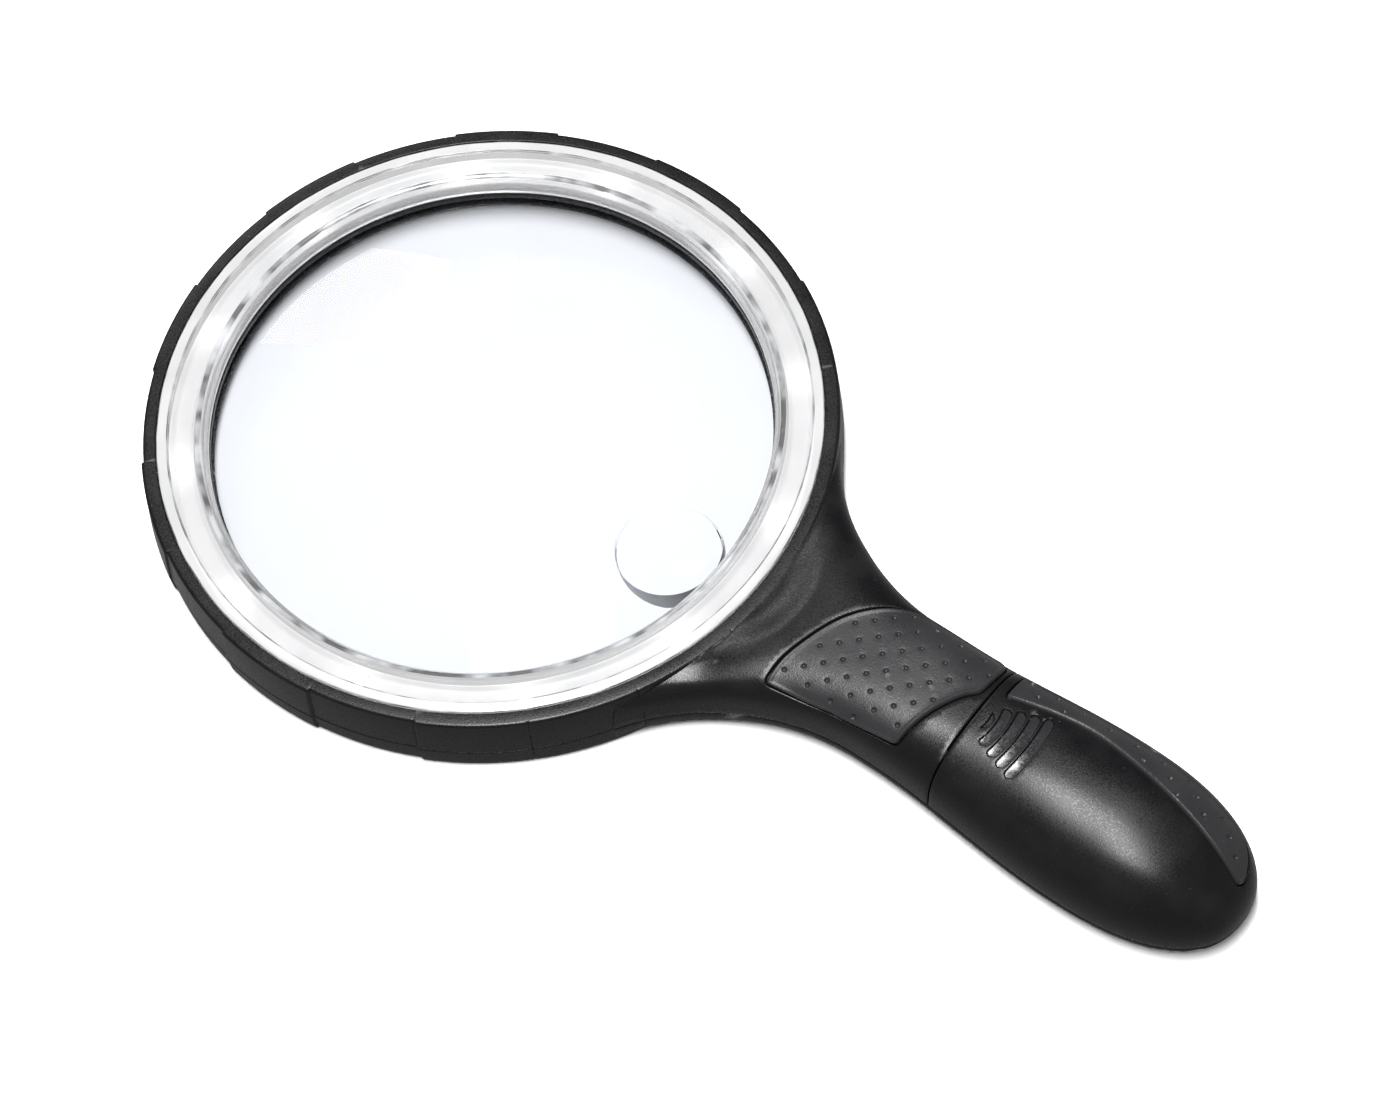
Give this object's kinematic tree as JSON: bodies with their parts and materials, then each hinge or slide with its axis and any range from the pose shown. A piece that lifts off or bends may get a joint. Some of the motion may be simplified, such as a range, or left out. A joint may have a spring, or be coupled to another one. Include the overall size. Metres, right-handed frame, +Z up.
{
  "type": "hand lens",
  "caption": "Lit reading magnifier: a biconvex lens with a small strong insert in a ring of LEDs, on a hollow handle with a sliding battery cover.",
  "frame": {"origin": "middle of the bottom of the object's box, on the surface it rests on", "axes": "+X along the handle, from the ring towards the handle's end; +Y across the ring, towards the side with the soft strip; +Z up, out of the lens's lit face"},
  "size_m": [0.2922, 0.1658, 0.0268],
  "materials": {
    "black_plastic": "fine moulded grain, satin",
    "soft_grip": "soft-touch matte",
    "lens_acrylic": "polished",
    "clear_plastic": "polished, clear",
    "white_plastic": "white, satin gloss",
    "white_board": "white solder mask",
    "led": "clear dome over phosphor",
    "green_board": "green solder mask",
    "resistor": "lacquered",
    "cell_sleeve": "printed sleeve, plain",
    "spring_steel": "nickel plated",
    "screw_steel": "zinc plated",
    "red_wire": "soft insulation",
    "black_wire": "soft insulation"
  },
  "bodies": {
    "body": {"top_shell": "black_plastic", "bottom_shell": "black_plastic", "neck_grip_pad": "soft_grip", "main_lens": "lens_acrylic", "lens_retainer": "black_plastic", "clear_light_cover": "clear_plastic", "light_reflector": "white_plastic", "led_board": "white_board", "led_01": "led", "led_02": "led", "led_03": "led", "led_04": "led", "led_05": "led", "led_06": "led", "led_07": "led", "led_08": "led", "led_09": "led", "led_10": "led", "led_11": "led", "led_12": "led", "switch_body": "spring_steel", "switch_board": "green_board", "current_limiting_resistor": "resistor", "battery_tray": "black_plastic", "battery_1": "cell_sleeve", "battery_2": "cell_sleeve", "battery_3": "cell_sleeve", "contact_front_single": "spring_steel", "contact_front_pair": "spring_steel", "contact_rear_pair": "spring_steel", "contact_rear_single": "spring_steel", "spring_1": "spring_steel", "spring_2": "spring_steel", "spring_3": "spring_steel", "wire_battery_to_switch": "red_wire", "wire_switch_to_ring": "red_wire", "wire_battery_to_ring": "black_wire", "screw_1": "screw_steel", "screw_2": "screw_steel", "screw_3": "screw_steel", "screw_4": "screw_steel", "screw_5": "screw_steel", "screw_6": "screw_steel", "screw_7": "screw_steel"},
    "battery_cover": {"battery_cover": "black_plastic", "cover_grip_strip": "soft_grip"},
    "switch_knob": {"switch_knob": "soft_grip"}
  },
  "joints": [
    {"name": "battery_cover_slide", "type": "slide", "parent": "body", "child": "battery_cover", "axis": [1, 0, 0], "range_m": [0, 0.07]},
    {"name": "switch_slide", "type": "slide", "parent": "body", "child": "switch_knob", "axis": [1, 0, 0], "range_m": [0, 0.0035]}
  ]
}
